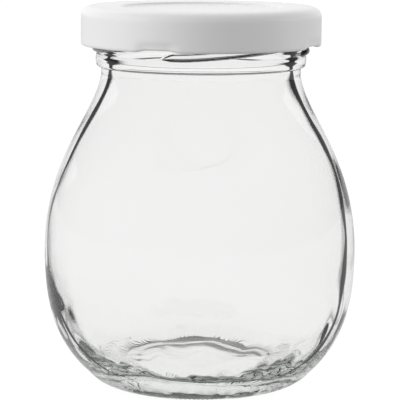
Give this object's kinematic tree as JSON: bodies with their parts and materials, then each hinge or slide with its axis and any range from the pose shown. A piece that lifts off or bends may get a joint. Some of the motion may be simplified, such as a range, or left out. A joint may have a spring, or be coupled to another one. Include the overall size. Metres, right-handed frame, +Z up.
{
  "type": "canning jar",
  "caption": "Empty round-bellied clear glass preserving jar with a wide mouth, closed by a white metal lug lid with a recessed top.",
  "frame": {"origin": "centre of the base, on the plane the jar stands on", "axes": "+Z up along the jar's axis; the side seen in the picture faces -Y"},
  "size_m": [0.0904, 0.0904, 0.1095],
  "materials": {
    "clear_glass": "clear, smooth, very slightly green-grey in thick places",
    "white_enamel": "white enamel, semi-gloss"
  },
  "bodies": {
    "root": {"glass_jar": "clear_glass", "lug_lid": "white_enamel"}
  },
  "joints": []
}
